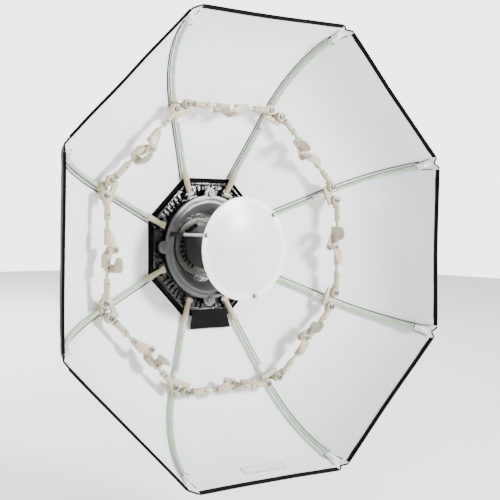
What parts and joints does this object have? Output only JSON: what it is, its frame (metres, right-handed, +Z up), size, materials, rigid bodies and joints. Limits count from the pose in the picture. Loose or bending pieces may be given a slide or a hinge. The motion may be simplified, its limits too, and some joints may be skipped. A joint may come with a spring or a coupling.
{
  "type": "collapsible softbox",
  "caption": "Collapsible octagonal studio softbox: hinged glass-fibre ribs, a locking ring of toggle links, a rotating mount insert and a disc deflector inside a white-lined canopy.",
  "frame": {"origin": "centre of the mount insert's rear face, on the axis of its bore", "axes": "-Y is the way the light goes, out of the open front; +Y points back to the flash head; +Z up, with flat sides of the octagon at the top and bottom"},
  "size_m": [0.809, 0.2437, 0.809],
  "materials": {
    "rib": "pale green glass-fibre rod with cream moulded ends",
    "moulding": "cream moulded nylon",
    "canopy": "white diffusing lining inside, black cloth outside",
    "insert_plate": "olive-grey paint",
    "black_plastic": "glossy black glass-filled nylon",
    "grey_metal": "satin grey casting",
    "screws": "bright zinc and chrome",
    "deflector": "satin white enamel",
    "tag": "blank black woven label"
  },
  "bodies": {
    "mount": {"mount_insert": "insert_plate", "insert_socket": "insert_plate", "insert_retainer": "insert_plate"},
    "speedring": {"speedring_base": "black_plastic", "clamp_ring": "grey_metal", "lug_screws": "screws", "rib_hinge_pins": "screws", "rear_shroud": "black_plastic", "deflector_studs": "screws", "deflector_disc": "deflector", "deflector_nuts": "screws", "blank_tag": "tag"},
    "rib_1": {"rib_1": "rib"},
    "bracket_1": {"bracket_1": "moulding"},
    "cheek_link_1": {"cheek_link_1": "moulding"},
    "paddle_link_1": {"paddle_link_1": "moulding"},
    "flap_left_1": {"gore_left_1": "canopy"},
    "flap_right_1": {"gore_right_1": "canopy"},
    "rib_2": {"rib_2": "rib"},
    "bracket_2": {"bracket_2": "moulding"},
    "cheek_link_2": {"cheek_link_2": "moulding"},
    "paddle_link_2": {"paddle_link_2": "moulding"},
    "flap_left_2": {"gore_left_2": "canopy"},
    "flap_right_2": {"gore_right_2": "canopy"},
    "rib_3": {"rib_3": "rib"},
    "bracket_3": {"bracket_3": "moulding"},
    "cheek_link_3": {"cheek_link_3": "moulding"},
    "paddle_link_3": {"paddle_link_3": "moulding"},
    "flap_left_3": {"gore_left_3": "canopy"},
    "flap_right_3": {"gore_right_3": "canopy"},
    "rib_4": {"rib_4": "rib"},
    "bracket_4": {"bracket_4": "moulding"},
    "cheek_link_4": {"cheek_link_4": "moulding"},
    "paddle_link_4": {"paddle_link_4": "moulding"},
    "flap_left_4": {"gore_left_4": "canopy"},
    "flap_right_4": {"gore_right_4": "canopy"},
    "rib_5": {"rib_5": "rib"},
    "bracket_5": {"bracket_5": "moulding"},
    "cheek_link_5": {"cheek_link_5": "moulding"},
    "paddle_link_5": {"paddle_link_5": "moulding"},
    "flap_left_5": {"gore_left_5": "canopy"},
    "flap_right_5": {"gore_right_5": "canopy"},
    "rib_6": {"rib_6": "rib"},
    "bracket_6": {"bracket_6": "moulding"},
    "cheek_link_6": {"cheek_link_6": "moulding"},
    "paddle_link_6": {"paddle_link_6": "moulding"},
    "flap_left_6": {"gore_left_6": "canopy"},
    "flap_right_6": {"gore_right_6": "canopy"},
    "rib_7": {"rib_7": "rib"},
    "bracket_7": {"bracket_7": "moulding"},
    "cheek_link_7": {"cheek_link_7": "moulding"},
    "paddle_link_7": {"paddle_link_7": "moulding"},
    "flap_left_7": {"gore_left_7": "canopy"},
    "flap_right_7": {"gore_right_7": "canopy"},
    "rib_8": {"rib_8": "rib"},
    "bracket_8": {"bracket_8": "moulding"},
    "cheek_link_8": {"cheek_link_8": "moulding"},
    "paddle_link_8": {"paddle_link_8": "moulding"},
    "flap_left_8": {"gore_left_8": "canopy"},
    "flap_right_8": {"gore_right_8": "canopy"}
  },
  "joints": [
    {"name": "speedring_turn", "type": "hinge", "parent": "mount", "child": "speedring", "pos_m": [0, 0, 0], "axis": [0, -1, 0], "continuous": true},
    {"name": "rib_1_fold", "type": "hinge", "parent": "speedring", "child": "rib_1", "pos_m": [0.09885, -0.036, 0.04095], "axis": [0.3827, 0, -0.9239], "range_deg": [0, 65]},
    {"name": "bracket_1_tilt", "type": "hinge", "parent": "rib_1", "child": "bracket_1", "pos_m": [0.25167, -0.08496, 0.10424], "axis": [0.3827, 0, -0.9239], "range_deg": [-65, 0]},
    {"name": "cheek_link_1_swing", "type": "hinge", "parent": "bracket_1", "child": "cheek_link_1", "pos_m": [0.24635, -0.1076, 0.11708], "axis": [0, -1, 0], "range_deg": [-72.58, 0]},
    {"name": "paddle_link_1_swing", "type": "hinge", "parent": "bracket_1", "child": "paddle_link_1", "pos_m": [0.25698, -0.1076, 0.0914], "axis": [0, -1, 0], "range_deg": [0, 72.58]},
    {"name": "flap_left_1_fold", "type": "hinge", "parent": "rib_1", "child": "flap_left_1", "pos_m": [0.19679, -0.0775, 0.08151], "axis": [0.6237, -0.7377, 0.2583], "range_deg": [-65.01, 0], "deforming": ["gore_left_1"]},
    {"name": "flap_right_1_fold", "type": "hinge", "parent": "rib_1", "child": "flap_right_1", "pos_m": [0.19679, -0.0775, 0.08151], "axis": [0.6237, -0.7377, 0.2583], "range_deg": [0, 65.01], "deforming": ["gore_right_1"]},
    {"name": "rib_2_fold", "type": "hinge", "parent": "speedring", "child": "rib_2", "pos_m": [0.04095, -0.036, 0.09885], "axis": [0.9239, 0, -0.3827], "range_deg": [0, 65]},
    {"name": "bracket_2_tilt", "type": "hinge", "parent": "rib_2", "child": "bracket_2", "pos_m": [0.10424, -0.08496, 0.25167], "axis": [0.9239, 0, -0.3827], "range_deg": [-65, 0]},
    {"name": "cheek_link_2_swing", "type": "hinge", "parent": "bracket_2", "child": "cheek_link_2", "pos_m": [0.0914, -0.1076, 0.25698], "axis": [0, -1, 0], "range_deg": [-72.58, 0]},
    {"name": "paddle_link_2_swing", "type": "hinge", "parent": "bracket_2", "child": "paddle_link_2", "pos_m": [0.11708, -0.1076, 0.24635], "axis": [0, -1, 0], "range_deg": [0, 72.58]},
    {"name": "flap_left_2_fold", "type": "hinge", "parent": "rib_2", "child": "flap_left_2", "pos_m": [0.08151, -0.0775, 0.19679], "axis": [0.2583, -0.7377, 0.6237], "range_deg": [-65.01, 0], "deforming": ["gore_left_2"]},
    {"name": "flap_right_2_fold", "type": "hinge", "parent": "rib_2", "child": "flap_right_2", "pos_m": [0.08151, -0.0775, 0.19679], "axis": [0.2583, -0.7377, 0.6237], "range_deg": [0, 65.01], "deforming": ["gore_right_2"]},
    {"name": "rib_3_fold", "type": "hinge", "parent": "speedring", "child": "rib_3", "pos_m": [-0.04095, -0.036, 0.09885], "axis": [0.9239, 0, 0.3827], "range_deg": [0, 65]},
    {"name": "bracket_3_tilt", "type": "hinge", "parent": "rib_3", "child": "bracket_3", "pos_m": [-0.10424, -0.08496, 0.25167], "axis": [0.9239, 0, 0.3827], "range_deg": [-65, 0]},
    {"name": "cheek_link_3_swing", "type": "hinge", "parent": "bracket_3", "child": "cheek_link_3", "pos_m": [-0.11708, -0.1076, 0.24635], "axis": [0, -1, 0], "range_deg": [-72.58, 0]},
    {"name": "paddle_link_3_swing", "type": "hinge", "parent": "bracket_3", "child": "paddle_link_3", "pos_m": [-0.0914, -0.1076, 0.25698], "axis": [0, -1, 0], "range_deg": [0, 72.58]},
    {"name": "flap_left_3_fold", "type": "hinge", "parent": "rib_3", "child": "flap_left_3", "pos_m": [-0.08151, -0.0775, 0.19679], "axis": [-0.2583, -0.7377, 0.6237], "range_deg": [-65.01, 0], "deforming": ["gore_left_3"]},
    {"name": "flap_right_3_fold", "type": "hinge", "parent": "rib_3", "child": "flap_right_3", "pos_m": [-0.08151, -0.0775, 0.19679], "axis": [-0.2583, -0.7377, 0.6237], "range_deg": [0, 65.01], "deforming": ["gore_right_3"]},
    {"name": "rib_4_fold", "type": "hinge", "parent": "speedring", "child": "rib_4", "pos_m": [-0.09885, -0.036, 0.04095], "axis": [0.3827, 0, 0.9239], "range_deg": [0, 65]},
    {"name": "bracket_4_tilt", "type": "hinge", "parent": "rib_4", "child": "bracket_4", "pos_m": [-0.25167, -0.08496, 0.10424], "axis": [0.3827, 0, 0.9239], "range_deg": [-65, 0]},
    {"name": "cheek_link_4_swing", "type": "hinge", "parent": "bracket_4", "child": "cheek_link_4", "pos_m": [-0.25698, -0.1076, 0.0914], "axis": [0, -1, 0], "range_deg": [-72.58, 0]},
    {"name": "paddle_link_4_swing", "type": "hinge", "parent": "bracket_4", "child": "paddle_link_4", "pos_m": [-0.24635, -0.1076, 0.11708], "axis": [0, -1, 0], "range_deg": [0, 72.58]},
    {"name": "flap_left_4_fold", "type": "hinge", "parent": "rib_4", "child": "flap_left_4", "pos_m": [-0.19679, -0.0775, 0.08151], "axis": [-0.6237, -0.7377, 0.2583], "range_deg": [-65.01, 0], "deforming": ["gore_left_4"]},
    {"name": "flap_right_4_fold", "type": "hinge", "parent": "rib_4", "child": "flap_right_4", "pos_m": [-0.19679, -0.0775, 0.08151], "axis": [-0.6237, -0.7377, 0.2583], "range_deg": [0, 65.01], "deforming": ["gore_right_4"]},
    {"name": "rib_5_fold", "type": "hinge", "parent": "speedring", "child": "rib_5", "pos_m": [-0.09885, -0.036, -0.04095], "axis": [-0.3827, 0, 0.9239], "range_deg": [0, 65]},
    {"name": "bracket_5_tilt", "type": "hinge", "parent": "rib_5", "child": "bracket_5", "pos_m": [-0.25167, -0.08496, -0.10424], "axis": [-0.3827, 0, 0.9239], "range_deg": [-65, 0]},
    {"name": "cheek_link_5_swing", "type": "hinge", "parent": "bracket_5", "child": "cheek_link_5", "pos_m": [-0.24635, -0.1076, -0.11708], "axis": [0, -1, 0], "range_deg": [-72.58, 0]},
    {"name": "paddle_link_5_swing", "type": "hinge", "parent": "bracket_5", "child": "paddle_link_5", "pos_m": [-0.25698, -0.1076, -0.0914], "axis": [0, -1, 0], "range_deg": [0, 72.58]},
    {"name": "flap_left_5_fold", "type": "hinge", "parent": "rib_5", "child": "flap_left_5", "pos_m": [-0.19679, -0.0775, -0.08151], "axis": [-0.6237, -0.7377, -0.2583], "range_deg": [-65.01, 0], "deforming": ["gore_left_5"]},
    {"name": "flap_right_5_fold", "type": "hinge", "parent": "rib_5", "child": "flap_right_5", "pos_m": [-0.19679, -0.0775, -0.08151], "axis": [-0.6237, -0.7377, -0.2583], "range_deg": [0, 65.01], "deforming": ["gore_right_5"]},
    {"name": "rib_6_fold", "type": "hinge", "parent": "speedring", "child": "rib_6", "pos_m": [-0.04095, -0.036, -0.09885], "axis": [-0.9239, 0, 0.3827], "range_deg": [0, 65]},
    {"name": "bracket_6_tilt", "type": "hinge", "parent": "rib_6", "child": "bracket_6", "pos_m": [-0.10424, -0.08496, -0.25167], "axis": [-0.9239, 0, 0.3827], "range_deg": [-65, 0]},
    {"name": "cheek_link_6_swing", "type": "hinge", "parent": "bracket_6", "child": "cheek_link_6", "pos_m": [-0.0914, -0.1076, -0.25698], "axis": [0, -1, 0], "range_deg": [-72.58, 0]},
    {"name": "paddle_link_6_swing", "type": "hinge", "parent": "bracket_6", "child": "paddle_link_6", "pos_m": [-0.11708, -0.1076, -0.24635], "axis": [0, -1, 0], "range_deg": [0, 72.58]},
    {"name": "flap_left_6_fold", "type": "hinge", "parent": "rib_6", "child": "flap_left_6", "pos_m": [-0.08151, -0.0775, -0.19679], "axis": [-0.2583, -0.7377, -0.6237], "range_deg": [-65.01, 0], "deforming": ["gore_left_6"]},
    {"name": "flap_right_6_fold", "type": "hinge", "parent": "rib_6", "child": "flap_right_6", "pos_m": [-0.08151, -0.0775, -0.19679], "axis": [-0.2583, -0.7377, -0.6237], "range_deg": [0, 65.01], "deforming": ["gore_right_6"]},
    {"name": "rib_7_fold", "type": "hinge", "parent": "speedring", "child": "rib_7", "pos_m": [0.04095, -0.036, -0.09885], "axis": [-0.9239, 0, -0.3827], "range_deg": [0, 65]},
    {"name": "bracket_7_tilt", "type": "hinge", "parent": "rib_7", "child": "bracket_7", "pos_m": [0.10424, -0.08496, -0.25167], "axis": [-0.9239, 0, -0.3827], "range_deg": [-65, 0]},
    {"name": "cheek_link_7_swing", "type": "hinge", "parent": "bracket_7", "child": "cheek_link_7", "pos_m": [0.11708, -0.1076, -0.24635], "axis": [0, -1, 0], "range_deg": [-72.58, 0]},
    {"name": "paddle_link_7_swing", "type": "hinge", "parent": "bracket_7", "child": "paddle_link_7", "pos_m": [0.0914, -0.1076, -0.25698], "axis": [0, -1, 0], "range_deg": [0, 72.58]},
    {"name": "flap_left_7_fold", "type": "hinge", "parent": "rib_7", "child": "flap_left_7", "pos_m": [0.08151, -0.0775, -0.19679], "axis": [0.2583, -0.7377, -0.6237], "range_deg": [-65.01, 0], "deforming": ["gore_left_7"]},
    {"name": "flap_right_7_fold", "type": "hinge", "parent": "rib_7", "child": "flap_right_7", "pos_m": [0.08151, -0.0775, -0.19679], "axis": [0.2583, -0.7377, -0.6237], "range_deg": [0, 65.01], "deforming": ["gore_right_7"]},
    {"name": "rib_8_fold", "type": "hinge", "parent": "speedring", "child": "rib_8", "pos_m": [0.09885, -0.036, -0.04095], "axis": [-0.3827, 0, -0.9239], "range_deg": [0, 65]},
    {"name": "bracket_8_tilt", "type": "hinge", "parent": "rib_8", "child": "bracket_8", "pos_m": [0.25167, -0.08496, -0.10424], "axis": [-0.3827, 0, -0.9239], "range_deg": [-65, 0]},
    {"name": "cheek_link_8_swing", "type": "hinge", "parent": "bracket_8", "child": "cheek_link_8", "pos_m": [0.25698, -0.1076, -0.0914], "axis": [0, -1, 0], "range_deg": [-72.58, 0]},
    {"name": "paddle_link_8_swing", "type": "hinge", "parent": "bracket_8", "child": "paddle_link_8", "pos_m": [0.24635, -0.1076, -0.11708], "axis": [0, -1, 0], "range_deg": [0, 72.58]},
    {"name": "flap_left_8_fold", "type": "hinge", "parent": "rib_8", "child": "flap_left_8", "pos_m": [0.19679, -0.0775, -0.08151], "axis": [0.6237, -0.7377, -0.2583], "range_deg": [-65.01, 0], "deforming": ["gore_left_8"]},
    {"name": "flap_right_8_fold", "type": "hinge", "parent": "rib_8", "child": "flap_right_8", "pos_m": [0.19679, -0.0775, -0.08151], "axis": [0.6237, -0.7377, -0.2583], "range_deg": [0, 65.01], "deforming": ["gore_right_8"]}
  ],
  "couplings": [
    {"joint": "bracket_1_tilt", "follows": "rib_1_fold", "ratio": -1},
    {"joint": "cheek_link_1_swing", "follows": "rib_1_fold", "ratio": -1.1165},
    {"joint": "paddle_link_1_swing", "follows": "rib_1_fold", "ratio": 1.1165},
    {"joint": "flap_left_1_fold", "follows": "rib_1_fold", "ratio": -1},
    {"joint": "flap_right_1_fold", "follows": "rib_1_fold", "ratio": 1},
    {"joint": "rib_2_fold", "follows": "rib_1_fold", "ratio": 1},
    {"joint": "bracket_2_tilt", "follows": "rib_1_fold", "ratio": -1},
    {"joint": "cheek_link_2_swing", "follows": "rib_1_fold", "ratio": -1.1165},
    {"joint": "paddle_link_2_swing", "follows": "rib_1_fold", "ratio": 1.1165},
    {"joint": "flap_left_2_fold", "follows": "rib_1_fold", "ratio": -1},
    {"joint": "flap_right_2_fold", "follows": "rib_1_fold", "ratio": 1},
    {"joint": "rib_3_fold", "follows": "rib_1_fold", "ratio": 1},
    {"joint": "bracket_3_tilt", "follows": "rib_1_fold", "ratio": -1},
    {"joint": "cheek_link_3_swing", "follows": "rib_1_fold", "ratio": -1.1165},
    {"joint": "paddle_link_3_swing", "follows": "rib_1_fold", "ratio": 1.1165},
    {"joint": "flap_left_3_fold", "follows": "rib_1_fold", "ratio": -1},
    {"joint": "flap_right_3_fold", "follows": "rib_1_fold", "ratio": 1},
    {"joint": "rib_4_fold", "follows": "rib_1_fold", "ratio": 1},
    {"joint": "bracket_4_tilt", "follows": "rib_1_fold", "ratio": -1},
    {"joint": "cheek_link_4_swing", "follows": "rib_1_fold", "ratio": -1.1165},
    {"joint": "paddle_link_4_swing", "follows": "rib_1_fold", "ratio": 1.1165},
    {"joint": "flap_left_4_fold", "follows": "rib_1_fold", "ratio": -1},
    {"joint": "flap_right_4_fold", "follows": "rib_1_fold", "ratio": 1},
    {"joint": "rib_5_fold", "follows": "rib_1_fold", "ratio": 1},
    {"joint": "bracket_5_tilt", "follows": "rib_1_fold", "ratio": -1},
    {"joint": "cheek_link_5_swing", "follows": "rib_1_fold", "ratio": -1.1165},
    {"joint": "paddle_link_5_swing", "follows": "rib_1_fold", "ratio": 1.1165},
    {"joint": "flap_left_5_fold", "follows": "rib_1_fold", "ratio": -1},
    {"joint": "flap_right_5_fold", "follows": "rib_1_fold", "ratio": 1},
    {"joint": "rib_6_fold", "follows": "rib_1_fold", "ratio": 1},
    {"joint": "bracket_6_tilt", "follows": "rib_1_fold", "ratio": -1},
    {"joint": "cheek_link_6_swing", "follows": "rib_1_fold", "ratio": -1.1165},
    {"joint": "paddle_link_6_swing", "follows": "rib_1_fold", "ratio": 1.1165},
    {"joint": "flap_left_6_fold", "follows": "rib_1_fold", "ratio": -1},
    {"joint": "flap_right_6_fold", "follows": "rib_1_fold", "ratio": 1},
    {"joint": "rib_7_fold", "follows": "rib_1_fold", "ratio": 1},
    {"joint": "bracket_7_tilt", "follows": "rib_1_fold", "ratio": -1},
    {"joint": "cheek_link_7_swing", "follows": "rib_1_fold", "ratio": -1.1165},
    {"joint": "paddle_link_7_swing", "follows": "rib_1_fold", "ratio": 1.1165},
    {"joint": "flap_left_7_fold", "follows": "rib_1_fold", "ratio": -1},
    {"joint": "flap_right_7_fold", "follows": "rib_1_fold", "ratio": 1},
    {"joint": "rib_8_fold", "follows": "rib_1_fold", "ratio": 1},
    {"joint": "bracket_8_tilt", "follows": "rib_1_fold", "ratio": -1},
    {"joint": "cheek_link_8_swing", "follows": "rib_1_fold", "ratio": -1.1165},
    {"joint": "paddle_link_8_swing", "follows": "rib_1_fold", "ratio": 1.1165},
    {"joint": "flap_left_8_fold", "follows": "rib_1_fold", "ratio": -1},
    {"joint": "flap_right_8_fold", "follows": "rib_1_fold", "ratio": 1}
  ]
}
